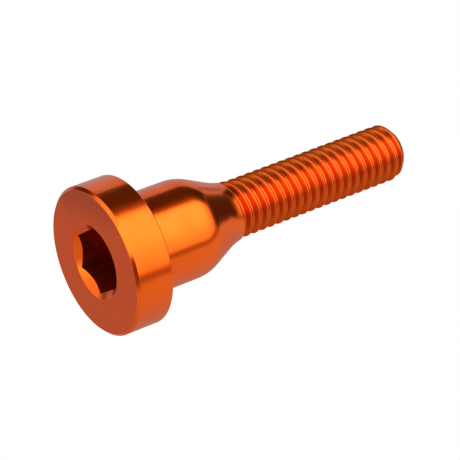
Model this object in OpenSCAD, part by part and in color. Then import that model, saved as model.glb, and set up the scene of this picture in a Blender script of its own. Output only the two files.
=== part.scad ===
// Cap bolt for a bicycle stem: a wide flat head with a hexagon socket, a thick plain shank,
// an ogee neck and a long metric thread. It is turned and threaded from one piece of metal.
// The bolt stands on its head: the origin is the centre of the flat head face, and +Z runs
// along the axis to the tip of the thread.

/* [Head] */
// Diameter of the head
head_d = 15; // [12:0.5:20]
// Height of the head
head_h = 4; // [3:0.25:6]
// Bevel round the rim of the flat head face
rim_bevel = 0.3; // [0.1:0.05:0.6]
// Edge break round the back of the head
back_bevel = 0.08; // [0.04:0.02:0.2]

/* [Socket] */
// Hexagon socket across its flats
hex_af = 6; // [4:0.5:7]
// Depth of the flats below the head face
hex_depth = 5; // [4.5:0.25:7]
// Diameter of the countersink where it meets the head face
sink_d = 7.7; // [7:0.1:10]
// Full angle of the countersink
sink_angle = 90; // [80:5:120]
// Gap between the flats and the pilot drill, which leaves a cone under them
pilot_gap = 0.1; // [0.05:0.05:0.5]
// Full angle of the pilot drill's point
pilot_angle = 118; // [90:2:140]

/* [Shank] */
// Diameter of the plain shank
shank_d = 10; // [9:0.25:11.5]
// Length of the straight shank under the head
shank_len = 5.75; // [4:0.05:9]

/* [Neck] */
// Radius of the rounded shoulder at the end of the shank
shoulder_r = 4.7; // [3:0.1:6]
// Radius of the hollow that runs into the thread
hollow_r = 7.2; // [6:0.1:9]
// Slope of the straight stretch between the two
neck_angle = 25; // [20:1:35]

/* [Thread] */
// Nominal diameter, which sets the place of the flanks
nominal_d = 6; // [5.8:0.1:8]
// How much smaller the outside of the thread is, which widens its flat crests
crest_cut = 0.2; // [0:0.05:0.3]
// Pitch of the right-hand thread
pitch = 1; // [0.8:0.1:1.25]
// Length of the bolt under its head
bolt_len = 32; // [26:0.5:50]
// How far the groove starts before the end of the neck
run_in = 1.4; // [0.5:0.05:1.6]
// Bevel at the tip of the thread
tip_bevel = 0.8; // [0.4:0.05:1.1]

/* [Hidden] */
anodised = [0.90, 0.37, 0.11];

// The neck is two arcs joined by the straight line that touches both. Where the arcs would
// take up more than their share of the step from shank to thread, both are drawn smaller
neck_steps = 12;
arcs_share = 0.95;
thread_d = nominal_d - crest_cut;
neck_drop = (shank_d - thread_d) / 2;
arcs_drop = (shoulder_r + hollow_r) * (1 - cos(neck_angle));
fit = min(1, arcs_share * neck_drop / arcs_drop);
shoulder_fit = shoulder_r * fit;
hollow_fit = hollow_r * fit;
line_len = (neck_drop - arcs_drop * fit) / sin(neck_angle);
neck_len = (shoulder_fit + hollow_fit) * sin(neck_angle) + line_len * cos(neck_angle);

// Heights of the main steps above the head face
shank_top = head_h + shank_len;
neck_top = shank_top + neck_len;
tip_z = head_h + bolt_len;
shoulder_c = [shank_top, shank_d / 2 - shoulder_fit];
hollow_c = [neck_top, thread_d / 2 + hollow_fit];

// A 60 degree thread whose crests would be an eighth of the pitch wide at the nominal
// diameter. The shares are of the pitch, and the angle is between a flank and the line
// square to the axis
flank_angle = 30;
depth_share = 0.6134;
crest_share = 1 / 8;
thread_depth = depth_share * pitch - crest_cut / 2;
groove_half = (1 - crest_share) / 2 * pitch - crest_cut / 2 * tan(flank_angle);
root_half = groove_half - thread_depth * tan(flank_angle);
steps_per_turn = 36;
// Angle over which the groove reaches its full depth
fade_angle = 100;
// Side of the neck on which the groove starts
groove_start_angle = 126;
over = 0.5;
// The groove cutter stands out of the crests until its turns nearly meet, so that it is
// open to the outside on the flare of the neck too. The gap is a share of the pitch
mouth_gap = 0.03;
mouth_half = pitch * (1 - mouth_gap) / 2;
clear = (mouth_half - groove_half) / tan(flank_angle);
// How far the cutter is drawn back at its start, which is just out of the neck
start_rise = hollow_fit - sqrt(max(0, hollow_fit ^ 2 - run_in ^ 2));
start_gap = 0.01;
lift = thread_depth + start_rise + start_gap;

// Points of an arc as [radius, height] round a centre given as [height, radius]
function arc(centre, r, from, to, side) =
    [for (i = [0:neck_steps]) let (a = from + (to - from) * i / neck_steps)
        [centre[1] + side * r * sin(a), centre[0] + side * r * cos(a)]];

// Half section of the blank from the axis at the head face to the axis at the tip
function blank_profile() = concat(
    [[0, 0], [head_d / 2 - rim_bevel, 0], [head_d / 2, rim_bevel],
     [head_d / 2, head_h - back_bevel], [head_d / 2 - back_bevel, head_h], [shank_d / 2, head_h]],
    arc(shoulder_c, shoulder_fit, 90, 90 - neck_angle, 1),
    arc(hollow_c, hollow_fit, 90 - neck_angle, 90, -1),
    [[thread_d / 2, tip_z - tip_bevel], [thread_d / 2 - tip_bevel, tip_z], [0, tip_z]]);

module blank() {
    rotate_extrude($fn = 96) polygon(blank_profile());
}

// The hexagon socket with the pilot drill's cone below it, and the countersink at its mouth
module socket() {
    corner_r = hex_af / 2 / cos(30);
    sink_depth = (sink_d / 2) / tan(sink_angle / 2);
    pilot_d = hex_af - 2 * pilot_gap;
    cone_h = pilot_d / 2 / tan(pilot_angle / 2);
    translate([0, 0, -over]) rotate(30) cylinder(r = corner_r, h = hex_depth + over, $fn = 6);
    translate([0, 0, hex_depth]) cylinder(d1 = pilot_d, d2 = 0, h = cone_h, $fn = 96);
    cylinder(r1 = sink_d / 2, r2 = 0, h = sink_depth, $fn = 96);
}

// Cutter for the thread groove: one section swept up a helix, drawn back outwards at its start
module groove_cutter() {
    turns = (tip_z - neck_top + run_in) / pitch + 1;
    steps = ceil(turns * steps_per_turn);
    major = thread_d / 2;
    root = major - thread_depth;
    mouth = major + clear;
    section = [[root, -root_half], [mouth, -mouth_half], [mouth, mouth_half], [root, root_half]];
    sides = len(section);
    points = [for (i = [0:steps])
        let (turn = i * 360 / steps_per_turn, a = groove_start_angle + turn,
             back = lift * max(0, 1 - turn / fade_angle), z = neck_top - run_in + pitch * turn / 360)
        for (p = section) [(p[0] + back) * cos(a), (p[0] + back) * sin(a), z + p[1]]];
    walls = [for (i = [0:steps - 1], k = [0:sides - 1])
        let (a = i * sides + k, b = i * sides + (k + 1) % sides)
        for (t = [[a, b, b + sides], [a, b + sides, a + sides]]) t];
    caps = [[for (k = [0:sides - 1]) sides - 1 - k], [for (k = [0:sides - 1]) steps * sides + k]];
    polyhedron(points, concat(walls, caps));
}

module bolt() {
    color(anodised) difference() {
        blank();
        socket();
        groove_cutter();
    }
}

bolt();
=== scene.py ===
"""Dresses the stem cap bolt: a turned, threaded and anodised one-piece bolt.

The bolt stands on its flat head face. Sizes are in millimetres while the mesh is
being built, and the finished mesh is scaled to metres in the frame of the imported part.
"""

import logging
import math
from collections.abc import Callable
from dataclasses import dataclass, field
from enum import IntEnum

import bmesh
import bpy
from mathutils import Matrix, Vector


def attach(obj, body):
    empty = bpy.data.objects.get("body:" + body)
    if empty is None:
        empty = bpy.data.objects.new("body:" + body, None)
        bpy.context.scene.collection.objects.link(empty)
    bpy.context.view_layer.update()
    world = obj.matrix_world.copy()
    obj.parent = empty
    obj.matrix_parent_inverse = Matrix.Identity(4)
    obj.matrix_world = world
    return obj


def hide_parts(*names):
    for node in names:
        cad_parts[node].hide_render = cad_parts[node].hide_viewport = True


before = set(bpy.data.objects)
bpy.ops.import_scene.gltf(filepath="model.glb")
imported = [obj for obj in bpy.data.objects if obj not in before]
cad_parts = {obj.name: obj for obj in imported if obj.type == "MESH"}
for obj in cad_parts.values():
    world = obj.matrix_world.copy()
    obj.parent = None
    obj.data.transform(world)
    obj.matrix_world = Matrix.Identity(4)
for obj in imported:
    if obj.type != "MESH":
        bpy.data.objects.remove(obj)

LOG = logging.getLogger("stem_cap_bolt")
MM = 0.001

# How near a point lies to a plane that it is on, in millimetres
NEAR = 1e-4
# Edges that turn by more than this stay sharp
SHARP_ANGLE = math.radians(38.0)
WHITE = (1.0, 1.0, 1.0)
# Tint of the studio's dark cards
DIM = (1.0, 0.71, 0.43)

Point = tuple[float, float]
Colour = tuple[float, float, float]
Ring = list[bmesh.types.BMEdge]
Place = Callable[[float], Point]


class Surface(IntEnum):
    """The bolt's finishes, in the order of its material slots."""

    FACE = 0
    SIDE = 1
    THREAD = 2
    SOCKET = 3
    BORE = 4


def soft_min(a: float, b: float, blend: float) -> float:
    """The smaller of two values, rounded where they cross.

    Args:
        a: First value.
        b: Second value.
        blend: Difference over which one value passes into the other.

    Returns:
        A value at or a little below the smaller one.
    """
    share = min(1.0, max(0.0, 0.5 + 0.5 * (b - a) / blend))
    return b + (a - b) * share - blend * share * (1.0 - share)


def soft_max(a: float, b: float, blend: float) -> float:
    """The larger of two values, rounded where they cross."""
    return -soft_min(-a, -b, blend)


def mix(a: float, b: float, share: float) -> float:
    """The value a share of the way from one value to another."""
    return a + (b - a) * share


@dataclass(frozen=True)
class Outline:
    """The turned outline of the bolt, in millimetres from the head face."""

    head_radius: float = 7.495
    head_height: float = 4.0
    rim_bevel: float = 0.3
    back_bevel: float = 0.12
    shank_radius: float = 5.0
    shank_length: float = 5.75
    shoulder_radius: float = 4.7
    hollow_radius: float = 7.2
    neck_angle: float = math.radians(25.0)
    crest_radius: float = 2.9
    length: float = 36.0
    tip_bevel: float = 0.8
    tip_blend: float = 0.25

    @property
    def shank_end(self) -> float:
        """Height at which the shoulder starts to curve in."""
        return self.head_height + self.shank_length

    @property
    def cone_length(self) -> float:
        """Length along the slope of the straight stretch between the two arcs."""
        step = self.shank_radius - self.crest_radius
        arcs = (self.shoulder_radius + self.hollow_radius) * (1.0 - math.cos(self.neck_angle))
        return (step - arcs) / math.sin(self.neck_angle)

    @property
    def cone_start(self) -> float:
        """Height at which the shoulder meets the straight slope."""
        return self.shank_end + self.shoulder_radius * math.sin(self.neck_angle)

    @property
    def cone_end(self) -> float:
        """Height at which the slope meets the hollow."""
        return self.cone_start + self.cone_length * math.cos(self.neck_angle)

    @property
    def neck_end(self) -> float:
        """Height at which the hollow reaches the thread's crests."""
        return self.cone_end + self.hollow_radius * math.sin(self.neck_angle)

    def radius_at(self, z: float) -> float:
        """Radius of the unthreaded neck and stem at a height.

        Args:
            z: Height above the head face, past the head.

        Returns:
            The radius there, with the tip's bevel taken off.
        """
        if z < self.shank_end:
            return self.shank_radius
        if z < self.cone_start:
            along = z - self.shank_end
            centre = self.shank_radius - self.shoulder_radius
            return centre + math.sqrt(self.shoulder_radius**2 - along**2)
        if z < self.cone_end:
            fall = self.shoulder_radius * (1.0 - math.cos(self.neck_angle))
            return self.shank_radius - fall - (z - self.cone_start) * math.tan(self.neck_angle)
        along = max(0.0, self.neck_end - z)
        centre = self.crest_radius + self.hollow_radius
        hollow = centre - math.sqrt(self.hollow_radius**2 - along**2)
        bevelled = self.crest_radius - self.tip_bevel + (self.length - z)
        return soft_min(hollow, bevelled, self.tip_blend)


@dataclass(frozen=True)
class Groove:
    """The 60 degree groove of the right-hand thread, in millimetres.

    The groove starts just out of the neck and deepens over its fade angle, and the first share
    of that angle keeps the neck's finish. The rows are the heights of the mesh's rows off the
    groove's centre, as shares of the pitch.
    """

    pitch: float = 1.0
    depth: float = 0.55
    half_width: float = 0.41
    flank_angle: float = math.radians(30.0)
    run_in: float = 1.4
    start_gap: float = 0.02
    start_angle: float = math.radians(126.0)
    fade_angle: float = math.radians(100.0)
    root_blend: float = 0.1
    crest_blend: float = 0.15
    polished_share: float = 1.0 / 3.0
    root_rows: tuple[float, ...] = (0.0, 0.05, 0.09, 0.13, 0.2)
    crest_rows: tuple[float, ...] = (0.28, 0.32, 0.35, 0.38, 0.405, 0.43, 0.455, 0.48, 0.5)

    @property
    def rows(self) -> list[float]:
        """Heights of one turn's rows, from half a pitch below its centre to half above."""
        above = (*self.root_rows, *self.crest_rows)
        return sorted({side * row for side in (-1.0, 1.0) for row in above})

    def follow(self, angle: float, z: float, outline: Outline) -> tuple[float, float]:
        """Finds the nearest turn of the groove to a point.

        Args:
            angle: Angle round the axis from +X, in radians.
            z: Height above the head face.
            outline: The blank that the groove is cut into.

        Returns:
            The angle that the cutter has gone through there, and the height above the
            groove's centre.
        """
        turn = 2.0 * math.pi
        rise = z - (outline.neck_end - self.run_in)
        cut = (angle - self.start_angle) % turn
        cut += turn * round(rise / self.pitch - cut / turn)
        return cut, rise - self.pitch * cut / turn

    def radius_at(self, angle: float, z: float, outline: Outline) -> float:
        """Radius of the cut surface at a point on the stem.

        Args:
            angle: Angle round the axis from +X, in radians.
            z: Height above the head face.
            outline: The blank that the groove is cut into.

        Returns:
            The radius of the blank or of the groove, whichever is smaller.
        """
        cut, off = self.follow(angle, z, outline)
        here = self.cut_radius(cut, abs(off), z, outline)
        above = self.cut_radius(cut + 2.0 * math.pi, self.pitch - off, z, outline)
        return min(here, above)

    def cut_radius(self, cut: float, off: float, z: float, outline: Outline) -> float:
        """Radius that one turn of the groove leaves.

        Args:
            cut: Angle that the cutter has gone through in that turn.
            off: Height off the groove's centre.
            z: Height above the head face.
            outline: The blank that the groove is cut into.

        Returns:
            The radius of the blank or of that turn, whichever is smaller.
        """
        if cut <= 0.0:
            return outline.radius_at(z)
        start_rise = outline.hollow_radius - math.sqrt(outline.hollow_radius**2 - self.run_in**2)
        full = min(1.0, cut / self.fade_angle)
        lift = (self.depth + start_rise + self.start_gap) * (1.0 - full)
        root_half = self.half_width - self.depth * math.tan(self.flank_angle)
        climb = soft_max(0.0, (off - root_half) / math.tan(self.flank_angle), self.root_blend)
        groove = outline.crest_radius - self.depth + lift + climb
        return soft_min(outline.radius_at(z), groove, max(self.start_gap, self.crest_blend * full))


@dataclass(frozen=True)
class HexSocket:
    """The countersunk hexagon socket, in millimetres.

    The sink shares place rings down the countersink, from its mouth to the wall. The break
    shares, of the edge break, place the rings of its two broken edges: round the outer one,
    above and below the inner one, and on the wall under that.
    """

    across_flats: float = 6.0
    depth: float = 5.0
    mouth_radius: float = 3.85
    sink_angle: float = math.radians(55.0)
    pilot_radius: float = 2.9
    pilot_half_angle: float = math.radians(59.0)
    edge_break: float = 0.035
    face_ring: float = 0.2
    sink_shares: tuple[float, ...] = (0.0, 0.3, 0.6, 0.9)
    break_shares: tuple[float, float, float, float] = (0.25, 0.5, 0.7, 2.0)
    wall_rings: tuple[float, ...] = (1.6, 3.3)

    def wall_radius(self, angle: float) -> float:
        """Finds the hexagon's wall, whose flats face along X.

        Args:
            angle: Angle round the axis, in radians.

        Returns:
            Distance from the axis to the wall.
        """
        sector = math.pi / 3.0
        off = (angle + sector / 2.0) % sector - sector / 2.0
        return self.across_flats / 2.0 / math.cos(off)

    def sink_depth(self, radius: float) -> float:
        """Depth of the countersink's cone at a radius."""
        return (self.mouth_radius - radius) / math.tan(self.sink_angle)

    def on_sink(self, angle: float, share: float, off: float = 0.0) -> Point:
        """A point on the countersink's cone, off a share of the way from its mouth to the wall."""
        radius = mix(self.mouth_radius - self.edge_break, self.wall_radius(angle), share) + off
        return radius, self.sink_depth(radius)

    def on_wall(self, angle: float, below: float) -> Point:
        """A point on the hexagon's wall, a depth below the countersink."""
        radius = self.wall_radius(angle)
        return radius, self.sink_depth(radius) + below


@dataclass
class MeshLathe:
    """Grows a closed skin ring by ring from an open edge loop."""

    bm: bmesh.types.BMesh
    ring: Ring
    last_radius: float = 0.01

    def grow(self, place: Place, surface: Surface) -> None:
        """Extrudes the ring and places the new one.

        Args:
            place: Gives the radius and height of the new ring at an angle.
            surface: Finish of the faces between the two rings.
        """
        new = bmesh.ops.extrude_edge_only(self.bm, edges=self.ring)["geom"]
        for vert in (g for g in new if isinstance(g, bmesh.types.BMVert)):
            angle = math.atan2(vert.co.y, vert.co.x)
            radius, height = place(angle)
            vert.co = (radius * math.cos(angle), radius * math.sin(angle), height)
        for face in (g for g in new if isinstance(g, bmesh.types.BMFace)):
            face.material_index = surface
        fresh = {g for g in new if isinstance(g, bmesh.types.BMVert)}
        self.ring = [g for g in new if isinstance(g, bmesh.types.BMEdge) and fresh.issuperset(g.verts)]

    def close(self, height: float, surface: Surface) -> None:
        """Draws the ring together to one point on the axis.

        Args:
            height: Height of the point.
            surface: Finish of the faces round it.
        """
        self.grow(lambda angle: (self.last_radius, height), surface)
        verts = list({v for e in self.ring for v in e.verts})
        bmesh.ops.pointmerge(self.bm, verts=verts, merge_co=(0.0, 0.0, height))


@dataclass(frozen=True)
class CornerRound:
    """A fine rounding of turned corners, in millimetres, which holds the flats beside it flat."""

    cut: float = 0.03
    hold: float = 1.6
    steps: int = 3

    def applied(self, points: list[Point]) -> list[Point]:
        """Rounds the inner corners of an outline.

        Args:
            points: Corners as radius and height.

        Returns:
            The points of the rounded corners, without the outline's two ends.
        """
        shares = [step / self.steps for step in range(self.steps + 1)]
        out = []
        for before, corner, after in zip(points, points[1:], points[2:]):
            here = Vector(corner)
            back = (Vector(before) - here).normalized() * self.cut
            on = (Vector(after) - here).normalized() * self.cut
            start, end = here + back, here + on
            curve = [start.lerp(here, t).lerp(here.lerp(end, t), t) for t in shares]
            held = (here + back * self.hold, *curve, here + on * self.hold)
            out += [tuple(point) for point in held]
        return out


@dataclass
class CapBolt:
    """The whole bolt as one closed mesh, whose sizes are in millimetres while it is built.

    The tube that becomes the thread starts on the plain neck and has the same columns all the
    way up. The numbers of rings are those of the neck's three stretches.
    """

    outline: Outline = field(default_factory=Outline)
    groove: Groove = field(default_factory=Groove)
    socket: HexSocket = field(default_factory=HexSocket)
    corners: CornerRound = field(default_factory=CornerRound)
    columns: int = 120
    plain_from: float = 14.7
    weld_gap: float = 0.003
    column_gap: float = 0.01
    hollow_rings: int = 10
    cone_rings: int = 5
    shoulder_rings: int = 16
    tip_edge: float = 0.05
    tip_shares: tuple[float, ...] = (0.985, 0.95, 0.4)

    def stem(self) -> bmesh.types.BMesh:
        """Winds the thread's skin and cuts it off square at both ends.

        Returns:
            An open tube whose rows follow the helix of the groove.
        """
        groove, outline = self.groove, self.outline
        bm = bmesh.new()
        start = outline.neck_end - groove.run_in - groove.pitch * groove.start_angle / (2.0 * math.pi)
        first = start - groove.pitch * math.ceil((start - self.plain_from) / groove.pitch + 1.0)
        turns = math.ceil((outline.length - first) / groove.pitch) + 1
        heights = [first + groove.pitch * share for share in groove.rows]
        row = [bm.verts.new((outline.crest_radius, 0.0, height)) for height in heights]
        edges = [bm.edges.new(pair) for pair in zip(row, row[1:])]
        bmesh.ops.spin(
            bm,
            geom=[*row, *edges],
            axis=(0.0, 0.0, 1.0),
            dvec=(0.0, 0.0, groove.pitch / self.columns),
            angle=2.0 * math.pi,
            steps=self.columns,
        )
        first_turn = [*bm.verts, *bm.edges, *bm.faces]
        for turn in range(1, turns):
            copy = bmesh.ops.duplicate(bm, geom=first_turn)["geom"]
            verts = [g for g in copy if isinstance(g, bmesh.types.BMVert)]
            bmesh.ops.translate(bm, verts=verts, vec=(0.0, 0.0, groove.pitch * turn))
        bmesh.ops.remove_doubles(bm, verts=bm.verts, dist=self.weld_gap)
        step = 2.0 * math.pi / self.columns
        for vert in bm.verts:
            angle = round(math.atan2(vert.co.y, vert.co.x) / step) * step
            vert.co = (math.cos(angle), math.sin(angle), vert.co.z)
        self.trim(bm, self.plain_from, upper=False)
        self.trim(bm, outline.length, upper=True)
        for height in self.tip_rings():
            bmesh.ops.bisect_plane(
                bm,
                geom=[*bm.verts, *bm.edges, *bm.faces],
                plane_co=(0.0, 0.0, height),
                plane_no=(0.0, 0.0, 1.0),
            )
        self.cut_groove(bm)
        return bm

    def cut_groove(self, bm: bmesh.types.BMesh) -> None:
        """Moves the tube's points in to the neck, the crests and the groove, and sets its finishes.

        Args:
            bm: The tube, whose points stand at their angles and heights.
        """
        groove, outline = self.groove, self.outline
        for vert in bm.verts:
            angle = math.atan2(vert.co.y, vert.co.x)
            radius = groove.radius_at(angle, vert.co.z, outline)
            vert.co = (radius * math.cos(angle), radius * math.sin(angle), vert.co.z)
        threaded_from = groove.fade_angle * groove.polished_share
        for face in bm.faces:
            centre = face.calc_center_median()
            cut, _ = groove.follow(math.atan2(centre.y, centre.x), centre.z, outline)
            face.material_index = Surface.THREAD if cut > threaded_from else Surface.SIDE

    def trim(self, bm: bmesh.types.BMesh, height: float, upper: bool) -> None:
        """Cuts the tube square at a height and leaves only whole columns on the cut.

        Args:
            bm: The tube.
            height: Height of the cut.
            upper: True to take off what is above it.
        """
        bmesh.ops.bisect_plane(
            bm,
            geom=[*bm.verts, *bm.edges, *bm.faces],
            plane_co=(0.0, 0.0, height),
            plane_no=(0.0, 0.0, 1.0),
            clear_outer=upper,
            clear_inner=not upper,
        )
        step = 2.0 * math.pi / self.columns
        by_column = {}
        strays = []
        for vert in (v for v in bm.verts if abs(v.co.z - height) < NEAR):
            column = math.atan2(vert.co.y, vert.co.x) / step
            nearest = round(column) % self.columns
            if abs(column - round(column)) < self.column_gap:
                by_column[nearest] = vert
            else:
                strays.append((vert, nearest))
        bmesh.ops.weld_verts(bm, targetmap={vert: by_column[column] for vert, column in strays})

    def tip_rings(self) -> list[float]:
        """Finds where extra rings follow the tip's bevel.

        Returns:
            Heights of the rings.
        """
        outline = self.outline
        bevel, blend = outline.tip_bevel, outline.tip_blend
        drops = (bevel + blend / 2, bevel, bevel - blend / 2, bevel / 2, self.tip_edge)
        return [outline.length - drop for drop in drops]

    def end_loop(self, bm: bmesh.types.BMesh, height: float) -> Ring:
        """The open edges at a height."""
        open_edges = [e for e in bm.edges if e.is_boundary]
        return [e for e in open_edges if all(abs(v.co.z - height) < NEAR for v in e.verts)]

    def close_tip(self, bm: bmesh.types.BMesh) -> None:
        """Puts the flat end on the thread.

        Args:
            bm: The bolt's mesh, open at the tip.
        """
        outline = self.outline
        flat = outline.radius_at(outline.length)
        lathe = MeshLathe(bm, self.end_loop(bm, outline.length))
        for share in self.tip_shares:
            lathe.grow(lambda angle, r=flat * share: (r, outline.length), Surface.THREAD)
        lathe.close(outline.length, Surface.THREAD)

    def neck_points(self) -> list[Point]:
        """Follows the neck down from the tube's lower end to the shank.

        Returns:
            Radius and height of each ring.
        """
        outline = self.outline
        stretches = (
            (self.plain_from, outline.cone_end, self.hollow_rings),
            (outline.cone_end, outline.cone_start, self.cone_rings),
            (outline.cone_start, outline.shank_end, self.shoulder_rings),
        )
        points = []
        for high, low, count in stretches:
            for ring in range(1, count + 1):
                z = high + (low - high) * ring / count
                points.append((outline.radius_at(z), z))
        return points

    def grow_body(self, bm: bmesh.types.BMesh) -> None:
        """Grows the neck, shank, head, face and socket from the lower end of the thread.

        Args:
            bm: The bolt's mesh, open at the lower end of the thread.
        """
        outline, socket = self.outline, self.socket
        lathe = MeshLathe(bm, self.end_loop(bm, self.plain_from))
        side = [
            (outline.shank_radius, outline.shank_end),
            (outline.shank_radius, outline.head_height),
            (outline.head_radius - outline.back_bevel, outline.head_height),
            (outline.head_radius, outline.head_height - outline.back_bevel),
            (outline.head_radius, outline.rim_bevel),
            (outline.head_radius - outline.rim_bevel, 0.0),
            (socket.mouth_radius + socket.face_ring, 0.0),
        ]
        for radius, height in [*self.neck_points(), *self.corners.applied(side)]:
            surface = Surface.FACE if height < NEAR else Surface.SIDE
            lathe.grow(lambda angle, r=radius, h=height: (r, h), surface)
        self.grow_socket(lathe)

    def grow_socket(self, lathe: MeshLathe) -> None:
        """Runs the skin down the countersink, the hexagon's walls and the drilled cone.

        Args:
            lathe: The lathe, whose ring lies on the head face.
        """
        socket = self.socket
        mouth, edge = socket.mouth_radius, socket.edge_break
        outer, above, below, under = (share * edge for share in socket.break_shares)
        for radius in (mouth + socket.face_ring / 2.0, mouth + edge):
            lathe.grow(lambda angle, r=radius: (r, 0.0), Surface.FACE)
        lathe.grow(lambda angle: (mouth - outer, outer), Surface.SOCKET)
        for share in socket.sink_shares:
            lathe.grow(lambda angle, s=share: socket.on_sink(angle, s), Surface.SOCKET)
        lathe.grow(lambda angle: socket.on_sink(angle, 1.0, above), Surface.SOCKET)
        lathe.grow(lambda angle: socket.on_wall(angle, below), Surface.SOCKET)
        lathe.grow(lambda angle: socket.on_wall(angle, under), Surface.BORE)
        for height in (*socket.wall_rings, socket.depth):
            lathe.grow(lambda angle, h=height: (socket.wall_radius(angle), h), Surface.BORE)
        lathe.grow(lambda angle: (socket.pilot_radius, socket.depth), Surface.BORE)
        point = socket.depth + socket.pilot_radius / math.tan(socket.pilot_half_angle)
        lathe.grow(lambda angle: (socket.pilot_radius / 2, (socket.depth + point) / 2), Surface.BORE)
        lathe.close(point, Surface.BORE)

    def build(self) -> bpy.types.Object:
        """Makes the finished object, dressed, riding on its body and standing for its node.

        Returns:
            The bolt's object, at the origin, in metres.
        """
        bm = self.stem()
        self.close_tip(bm)
        self.grow_body(bm)
        bmesh.ops.recalc_face_normals(bm, faces=bm.faces)
        bmesh.ops.transform(bm, matrix=Matrix.Scale(MM, 4), verts=bm.verts)
        for face in bm.faces:
            face.smooth = True
        mesh = bpy.data.meshes.new("cap_bolt")
        bm.to_mesh(mesh)
        bm.free()
        mesh.set_sharp_from_angle(angle=SHARP_ANGLE)
        bolt = bpy.data.objects.new("cap_bolt", mesh)
        bpy.context.scene.collection.objects.link(bolt)
        for finish in bolt_finishes():
            mesh.materials.append(finish.material())
        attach(bolt, "root")
        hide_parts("bolt")
        return bolt


@dataclass
class Nodes:
    """A node tree with short calls for the nodes that the finishes and the light need."""

    tree: bpy.types.NodeTree

    def add(self, kind: str, **settings: object) -> bpy.types.Node:
        """Adds a node.

        Args:
            kind: Type of the node.
            **settings: Plain properties of the node.

        Returns:
            The node.
        """
        node = self.tree.nodes.new(kind)
        for name, value in settings.items():
            setattr(node, name, value)
        return node

    def feed(self, socket: bpy.types.NodeSocket, value: object) -> None:
        """Links a socket to another socket, or sets it to a plain value.

        Args:
            socket: The input.
            value: An output, or the value.
        """
        if isinstance(value, bpy.types.NodeSocket):
            self.tree.links.new(value, socket)
        else:
            socket.default_value = value

    def math(self, operation: str, *values: object) -> bpy.types.NodeSocket:
        """Adds a Math node.

        Args:
            operation: What it works out.
            *values: Its inputs.

        Returns:
            Its result.
        """
        node = self.add("ShaderNodeMath", operation=operation)
        for socket, value in zip(node.inputs, values):
            self.feed(socket, value)
        return node.outputs[0]

    def ramp(
        self, value: object, low: float, high: float, start: float = 0.0, end: float = 1.0
    ) -> bpy.types.NodeSocket:
        """Makes a smooth step.

        Args:
            value: What the step follows.
            low: Value up to which the result is the start.
            high: Value past which the result is the end.
            start: First level.
            end: Last level.

        Returns:
            The level.
        """
        node = self.add("ShaderNodeMapRange", interpolation_type="SMOOTHSTEP")
        names = ("Value", "From Min", "From Max", "To Min", "To Max")
        for name, given in zip(names, (value, low, high, start, end)):
            self.feed(node.inputs[name], given)
        return node.outputs[0]

    def noise(self, place: object, size: float, detail: float) -> bpy.types.NodeSocket:
        """Makes a cloudy noise.

        Args:
            place: Where it is looked up, in metres.
            size: Size of its clouds, in millimetres.
            detail: How many finer layers it has.

        Returns:
            The noise, around a half.
        """
        node = self.add("ShaderNodeTexNoise")
        for name, given in (("Vector", place), ("Scale", 1.0 / (size * MM)), ("Detail", detail)):
            self.feed(node.inputs[name], given)
        return node.outputs[0]

    def vector(self, operation: str, *values: object) -> bpy.types.Node:
        """Adds a Vector Math node.

        Args:
            operation: What it works out.
            *values: Its inputs.

        Returns:
            The node.
        """
        node = self.add("ShaderNodeVectorMath", operation=operation)
        for socket, value in zip(node.inputs, values):
            self.feed(socket, value)
        return node

    def colours(self, low: object, high: object, share: object) -> bpy.types.NodeSocket:
        """Mixes two colours.

        Args:
            low: Colour at a share of nought.
            high: Colour at a share of one.
            share: How far the mix has gone.

        Returns:
            The mixed colour.
        """
        node = self.add("ShaderNodeMix", data_type="RGBA")
        for socket, given in zip((node.inputs[0], node.inputs[6], node.inputs[7]), (share, low, high)):
            self.feed(socket, given)
        return node.outputs[2]

    def scaled(self, colour: object, level: object) -> bpy.types.NodeSocket:
        """Multiplies a colour by a number.

        Args:
            colour: The colour.
            level: The number.

        Returns:
            The brighter or darker colour.
        """
        node = self.vector("SCALE", colour)
        self.feed(node.inputs["Scale"], level)
        return node.outputs[0]

    def blend(self, low: object, high: object, share: object) -> bpy.types.NodeSocket:
        """Mixes two values.

        Args:
            low: Value at a share of nought.
            high: Value at a share of one.
            share: How far the mix has gone.

        Returns:
            The mixed value.
        """
        node = self.add("ShaderNodeMix", data_type="FLOAT")
        for socket, given in zip((node.inputs[0], node.inputs[2], node.inputs[3]), (share, low, high)):
            self.feed(socket, given)
        return node.outputs[0]


@dataclass(frozen=True)
class PaintedShadeSide:
    """A side of the bolt painted darker, a painted shade along a direction square to the axis.

    The painted shade deepens from the near to the far distance, in millimetres. The share is how
    much of the dye's tone follows the painted shade, and the clouds give the rest.
    """

    x: float
    y: float
    near: float
    far: float
    share: float = 0.9


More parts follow.
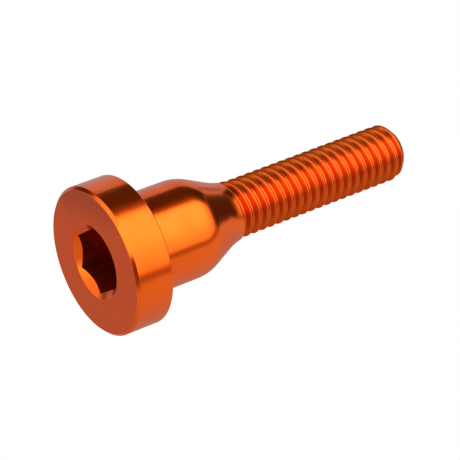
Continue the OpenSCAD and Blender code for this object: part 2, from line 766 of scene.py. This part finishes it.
@dataclass(frozen=True)
class AnodisedFinish:
    """Dyed anodised aluminium, whose grain and lathe lines follow how it was worked.

    Sizes, heights and radii are in millimetres. The crests' colour comes in between two radii.
    A streak draws the dye's clouds out along the axis by that factor. The spans are the parts
    of the noise over which the roughness and the dye change. A painted shade side, where one is
    set, paints one side darker.
    """

    name: str
    colour: Colour
    deep_colour: Colour
    roughness: float
    roughness_spread: float
    grain_size: float
    grain_height: float
    line_pitch: float = 0.0
    line_height: float = 0.0
    crest_colour: Colour | None = None
    crest_from: float = 2.68
    crest_full: float = 2.80
    edge_tint: Colour = WHITE
    # Painted shade that darkens the dye's tone towards one side
    painted_shade_side: PaintedShadeSide | None = None
    streak: float = 1.0
    cloud_size: float = 2.5
    grain_span: tuple[float, float] = (0.3, 0.7)
    cloud_span: tuple[float, float] = (0.35, 0.65)

    def material(self) -> bpy.types.Material:
        """Builds the finish as a node material in Object coordinates.

        Returns:
            The material.
        """
        material = bpy.data.materials.new(self.name)
        material.use_nodes = True
        nodes = Nodes(material.node_tree)
        shader = material.node_tree.nodes["Principled BSDF"]
        place = nodes.add("ShaderNodeTexCoord").outputs["Object"]
        grain = nodes.noise(place, self.grain_size, detail=4.0)
        half = self.roughness_spread / 2.0
        rough = nodes.ramp(grain, *self.grain_span, self.roughness - half, self.roughness + half)
        height = nodes.math("MULTIPLY", grain, self.grain_height)
        if self.line_pitch:
            height = nodes.math("ADD", height, self.lines(nodes, place))
        bump = nodes.add("ShaderNodeBump")
        bump.inputs["Strength"].default_value = 1.0
        nodes.feed(bump.inputs["Distance"], MM)
        nodes.feed(bump.inputs["Height"], height)
        shader.inputs["Metallic"].default_value = 1.0
        shader.inputs["Specular Tint"].default_value = (*self.edge_tint, 1.0)
        nodes.feed(shader.inputs["Base Color"], self.tone(nodes, place))
        nodes.feed(shader.inputs["Roughness"], rough)
        nodes.feed(shader.inputs["Normal"], bump.outputs[0])
        return material

    def tone(self, nodes: Nodes, place: bpy.types.NodeSocket) -> bpy.types.NodeSocket:
        """Mixes the dye's two colours, the painted shade of one side where it is set, and the colour
        of the crests over them.

        Args:
            nodes: The material's nodes.
            place: Object coordinates.

        Returns:
            The colour.
        """
        drawn = nodes.vector("MULTIPLY", place, (self.streak, self.streak, 1.0)).outputs[0]
        share = nodes.ramp(nodes.noise(drawn, self.cloud_size, detail=3.0), *self.cloud_span)
        # Painted shade: the dye's tone goes deeper towards one side, standing in for shade
        if self.painted_shade_side:
            side = self.painted_shade_side
            along = nodes.vector("DOT_PRODUCT", place, (side.x, side.y, 0.0)).outputs["Value"]
            painted_shade = nodes.ramp(along, side.near * MM, side.far * MM)
            clouds = nodes.math("MULTIPLY", share, 1.0 - side.share)
            share = nodes.math("ADD", clouds, nodes.math("MULTIPLY", painted_shade, side.share))
        tone = nodes.colours((*self.colour, 1.0), (*self.deep_colour, 1.0), share)
        if self.crest_colour:
            radius = self.radius(nodes, place)
            crest = nodes.ramp(radius, self.crest_from * MM, self.crest_full * MM)
            tone = nodes.colours(tone, (*self.crest_colour, 1.0), crest)
        return tone

    def lines(self, nodes: Nodes, place: bpy.types.NodeSocket) -> bpy.types.NodeSocket:
        """Height of the fine rings that the turning tool leaves.

        Args:
            nodes: The material's nodes.
            place: Object coordinates.

        Returns:
            A height that changes only along the axis and out from it.
        """
        parts = nodes.add("ShaderNodeSeparateXYZ")
        nodes.feed(parts.inputs[0], place)
        travel = nodes.math("SUBTRACT", parts.outputs[2], self.radius(nodes, place))
        rings = nodes.add("ShaderNodeTexNoise", noise_dimensions="1D")
        nodes.feed(rings.inputs["W"], nodes.math("MULTIPLY", travel, 1.0 / (self.line_pitch * MM)))
        nodes.feed(rings.inputs["Scale"], 1.0)
        nodes.feed(rings.inputs["Detail"], 2.0)
        return nodes.math("MULTIPLY", rings.outputs[0], self.line_height)

    def radius(self, nodes: Nodes, place: bpy.types.NodeSocket) -> bpy.types.NodeSocket:
        """Distance from the bolt's axis, in metres."""
        flat = nodes.vector("MULTIPLY", place, (1.0, 1.0, 0.0)).outputs[0]
        return nodes.vector("LENGTH", flat).outputs["Value"]


def bolt_finishes() -> list[AnodisedFinish]:
    """Lists the bolt's finishes.

    Returns:
        The finishes, in the order of Surface.
    """
    orange, deep_orange = (0.93, 0.132, 0.013), (0.90, 0.118, 0.010)
    satin, deep_and_shaded_satin = (0.83, 0.145, 0.046), (0.57, 0.108, 0.042)
    flank, deep_flank = (0.65, 0.125, 0.019), (0.61, 0.115, 0.016)
    # The bore's colours are the orange dye darkened, a painted shade deep in the socket
    shaded_bore, deeper_shaded_bore = (0.46, 0.064, 0.009), (0.28, 0.035, 0.005)
    crest = (0.72, 0.090, 0.009)
    warm_edge = (1.0, 0.62, 0.50)
    return [
        AnodisedFinish(
            "blasted_face", satin, deep_and_shaded_satin,
            roughness=0.48, roughness_spread=0.06, grain_size=0.09, grain_height=0.006,
            # Painted shade: the face is painted darker towards its -X side
            painted_shade_side=PaintedShadeSide(-0.906, -0.423, 3.0, 7.2),
        ),
        AnodisedFinish(
            "turned_side", orange, deep_orange,
            roughness=0.17, roughness_spread=0.03, grain_size=0.3, grain_height=0.0004,
            line_pitch=0.11, line_height=0.0003,
        ),
        AnodisedFinish(
            "rolled_thread", flank, deep_flank,
            roughness=0.30, roughness_spread=0.05, grain_size=0.2, grain_height=0.0004,
            crest_colour=crest, edge_tint=warm_edge,
        ),
        AnodisedFinish(
            "countersink", orange, deep_orange,
            roughness=0.2, roughness_spread=0.05, grain_size=0.2, grain_height=0.0004,
        ),
        # Painted shade: the bore is darker than the dye elsewhere, standing in for shade in the socket
        AnodisedFinish(
            "broached_bore_painted_shade", shaded_bore, deeper_shaded_bore,
            roughness=0.4, roughness_spread=0.05, grain_size=0.2, grain_height=0.0008,
            edge_tint=warm_edge, streak=3.5,
        ),
    ]


@dataclass(frozen=True)
class Sweep:
    """A level that passes smoothly from start to end between two angles, in degrees."""

    low: float
    high: float
    start: float
    end: float

    def at(self, nodes: Nodes, angle: bpy.types.NodeSocket) -> bpy.types.NodeSocket:
        """The level at an angle."""
        return nodes.ramp(angle, self.low, self.high, self.start, self.end)


@dataclass(frozen=True)
class LightPatch:
    """A soft-edged patch of light or shade on the studio's walls, in degrees.

    Azimuth 0 is -Y and 90 is -X, so left and right are as the bolt would see them. Elevation is
    above the floor. A level may change with the azimuth, and another sweep may dim it upwards.
    """

    level: float | Sweep
    left: float
    right: float
    low: float
    high: float
    soft: float = 4.0
    corner: float = 4.0
    tint: Colour = WHITE
    upwards: Sweep | None = None

    def laid_over(
        self,
        nodes: Nodes,
        light: bpy.types.NodeSocket,
        azimuth: bpy.types.NodeSocket,
        elevation: bpy.types.NodeSocket,
    ) -> bpy.types.NodeSocket:
        """Lays the patch over the light behind it.

        Args:
            nodes: The world's nodes.
            light: The light without the patch.
            azimuth: Azimuth of the direction that is lit.
            elevation: Elevation of the direction.

        Returns:
            The light with the patch.
        """
        level = self.level.at(nodes, azimuth) if isinstance(self.level, Sweep) else self.level
        if self.upwards:
            level = nodes.math("MULTIPLY", level, self.upwards.at(nodes, elevation))
        share = self.mask(nodes, azimuth, elevation)
        return nodes.colours(light, nodes.scaled(self.tint, level), share)

    def mask(
        self, nodes: Nodes, azimuth: bpy.types.NodeSocket, elevation: bpy.types.NodeSocket
    ) -> bpy.types.NodeSocket:
        """Shapes the patch, with soft edges and round corners.

        Args:
            nodes: The world's nodes.
            azimuth: Azimuth of the direction that is lit.
            elevation: Elevation of the direction.

        Returns:
            One inside the patch and nought outside it.
        """
        beyond = []
        for value, low, high in ((azimuth, self.left, self.right), (elevation, self.low, self.high)):
            before, after = nodes.math("SUBTRACT", low, value), nodes.math("SUBTRACT", value, high)
            beyond.append(nodes.math("ADD", nodes.math("MAXIMUM", before, after), self.corner))
        outside = [nodes.math("POWER", nodes.math("MAXIMUM", value, 0.0), 2.0) for value in beyond]
        inside = nodes.math("MINIMUM", nodes.math("MAXIMUM", *beyond), 0.0)
        distance = nodes.math("ADD", nodes.math("SQRT", nodes.math("ADD", *outside)), inside)
        return nodes.ramp(distance, self.corner - self.soft, self.corner + self.soft, 1.0, 0.0)


@dataclass
class Studio:
    """The studio's walls of light, the pale floor and the white background.

    The walls are pale, and warmer behind the bolt. Dark cards stand above and beside it, a
    dusky wall to its right, a bright table below, and the key light in front, with a low dark
    card across its edge.
    """

    floor_size: float = 1.2
    floor_drop: float = 0.00003
    floor_colour: Colour = (0.80, 0.80, 0.80)
    floor_roughness: float = 0.9
    diffuse_level: float = 0.8
    left_wall: Sweep = Sweep(-180.0, -70.0, 0.45, 0.80)
    right_wall: Sweep = Sweep(110.0, 180.0, 0.68, 0.45)
    left_to_right: Sweep = Sweep(0.0, 1.0, 0.0, 1.0)
    warm_left: Sweep = Sweep(-160.0, -100.0, 1.0, 0.0)
    warm_right: Sweep = Sweep(160.0, 180.0, 0.0, 1.0)
    warm_tint: Colour = (1.03, 0.72, 0.5)
    top_card: LightPatch = LightPatch(0.06, -56.0, 107.0, 62.0, 95.0, soft=5.0, tint=DIM)
    small_card: LightPatch = LightPatch(
        0.34, 116.0, 134.0, 51.0, 57.0, corner=3.0, tint=(1.0, 0.85, 0.70)
    )
    left_card: LightPatch = LightPatch(0.43, -55.0, -40.0, -70.0, 70.0, tint=DIM)
    right_card: LightPatch = LightPatch(
        0.10, 100.0, 145.0, -40.0, 5.0, soft=10.0, corner=20.0, tint=DIM
    )
    dusky_wall: LightPatch = LightPatch(
        Sweep(42.0, 70.0, 0.65, 0.09), 35.0, 104.0, -20.0, 62.0,
        soft=5.0, tint=DIM, upwards=Sweep(30.0, 62.0, 1.0, 0.4),
    )
    table: LightPatch = LightPatch(
        Sweep(65.0, 110.0, 2.0, 1.15), -20.0, 156.0, -95.0, -33.0, soft=6.0
    )
    key_light: LightPatch = LightPatch(
        Sweep(-45.0, 12.0, 1.45, 2.75), -42.0, 49.5, -95.0, 60.0,
        soft=5.5, corner=20.0, upwards=Sweep(38.0, 64.0, 1.0, 0.5),
    )
    low_card: LightPatch = LightPatch(0.20, -79.0, -17.0, -69.0, -49.0, soft=5.0, tint=DIM)

    def wall_light(self, nodes: Nodes) -> bpy.types.NodeSocket:
        """Light of the studio's walls by direction, as polished metal shows it.

        Args:
            nodes: The world's nodes.

        Returns:
            The light's colour, brighter than one where the key light stands.
        """
        parts = nodes.add("ShaderNodeSeparateXYZ")
        nodes.feed(parts.inputs[0], nodes.add("ShaderNodeTexCoord").outputs["Generated"])
        x, y, z = parts.outputs
        to_degrees = math.degrees(1.0)
        back = [nodes.math("MULTIPLY", value, -1.0) for value in (x, y)]
        azimuth = nodes.math("MULTIPLY", nodes.math("ARCTAN2", *back), to_degrees)
        elevation = nodes.math("MULTIPLY", nodes.math("ARCSINE", z), to_degrees)
        wall = nodes.blend(
            self.left_wall.at(nodes, azimuth),
            self.right_wall.at(nodes, azimuth),
            self.left_to_right.at(nodes, azimuth),
        )
        warm = nodes.math("ADD", self.warm_left.at(nodes, azimuth), self.warm_right.at(nodes, azimuth))
        light = nodes.scaled(nodes.colours((*WHITE, 1.0), (*self.warm_tint, 1.0), warm), wall)
        # Each patch lies over those before it
        patches = (
            self.top_card,
            self.small_card,
            self.left_card,
            self.right_card,
            self.dusky_wall,
            self.table,
            self.key_light,
            self.low_card,
        )
        for patch in patches:
            light = patch.laid_over(nodes, light, azimuth, elevation)
        return light

    def light_world(self) -> None:
        """Sets the white background and the walls that light the bolt."""
        world = bpy.data.worlds.new("studio")
        world.use_nodes = True
        bpy.context.scene.world = world
        nodes = Nodes(world.node_tree)
        background = world.node_tree.nodes["Background"]
        path = nodes.add("ShaderNodeLightPath")
        level = nodes.blend(self.diffuse_level, 1.0, path.outputs["Is Camera Ray"])
        plain = nodes.scaled(WHITE, level)
        light = nodes.colours(plain, self.wall_light(nodes), path.outputs["Is Glossy Ray"])
        nodes.feed(background.inputs["Color"], light)
        nodes.feed(background.inputs["Strength"], 1.0)

    def lay_floor(self) -> None:
        """Lays the pale floor, which is clear from beneath."""
        bm = bmesh.new()
        bmesh.ops.create_grid(bm, x_segments=1, y_segments=1, size=self.floor_size / 2)
        bmesh.ops.translate(bm, verts=bm.verts, vec=(0.0, 0.0, -self.floor_drop))
        mesh = bpy.data.meshes.new("floor")
        bm.to_mesh(mesh)
        bm.free()
        floor = bpy.data.objects.new("floor", mesh)
        bpy.context.scene.collection.objects.link(floor)
        material = bpy.data.materials.new("pale_floor")
        material.use_nodes = True
        nodes = Nodes(material.node_tree)
        shader = material.node_tree.nodes["Principled BSDF"]
        shader.inputs["Base Color"].default_value = (*self.floor_colour, 1.0)
        shader.inputs["Roughness"].default_value = self.floor_roughness
        clear = nodes.add("ShaderNodeBsdfTransparent")
        both = nodes.add("ShaderNodeMixShader")
        nodes.feed(both.inputs[0], nodes.add("ShaderNodeNewGeometry").outputs["Backfacing"])
        nodes.feed(both.inputs[1], shader.outputs[0])
        nodes.feed(both.inputs[2], clear.outputs[0])
        nodes.feed(material.node_tree.nodes["Material Output"].inputs["Surface"], both.outputs[0])
        mesh.materials.append(material)
        floor.visible_glossy = False
        floor.visible_diffuse = False
        floor.visible_transmission = False
        floor.visible_shadow = False

    def build(self) -> None:
        """Sets up the light and the floor."""
        self.light_world()
        self.lay_floor()


@dataclass(frozen=True)
class PhotoCamera:
    """A camera with the photograph's view, from below the head, with the bolt rising to the right.

    It looks along +Y and climbs by an angle, and it is then rolled about its line of sight.
    Its place and nearest distance are in metres, and its lens and sensor in millimetres.
    """

    place: tuple[float, float, float] = (0.001746, -0.224845, -0.112936)
    climb: float = math.radians(29.658)
    roll: float = math.radians(69.0)
    lens: float = 207.45
    sensor: float = 36.0
    nearest: float = 0.01

    def build(self) -> bpy.types.Object:
        """Makes the scene's camera.

        Returns:
            The camera's object.
        """
        data = bpy.data.cameras.new("photo_camera")
        data.lens = self.lens
        data.sensor_width = self.sensor
        data.clip_start = self.nearest
        camera = bpy.data.objects.new("photo_camera", data)
        bpy.context.scene.collection.objects.link(camera)
        forward = Vector((0.0, math.cos(self.climb), math.sin(self.climb)))
        level_up = Vector((0.0, -math.sin(self.climb), math.cos(self.climb)))
        level_right = Vector((1.0, 0.0, 0.0))
        right = level_right * math.cos(self.roll) + level_up * math.sin(self.roll)
        up = level_up * math.cos(self.roll) - level_right * math.sin(self.roll)
        turn = Matrix((right, up, -forward)).transposed().to_4x4()
        camera.matrix_world = Matrix.Translation(self.place) @ turn
        bpy.context.scene.camera = camera
        return camera


def corners(box: tuple[Vector, Vector]) -> list[list[float]]:
    """A box's two corners as plain lists."""
    return [list(corner) for corner in box]


def main() -> None:
    """Builds the camera, the bolt and its studio."""
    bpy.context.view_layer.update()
    bpy.context.scene.view_settings.view_transform = "Standard"
    PhotoCamera().build()
    bolt = CapBolt().build()
    LOG.info("%s: %d faces", bolt.name, len(bolt.data.polygons))
    Studio().build()


if __name__ == "__main__":
    logging.basicConfig(level=logging.INFO)
    main()
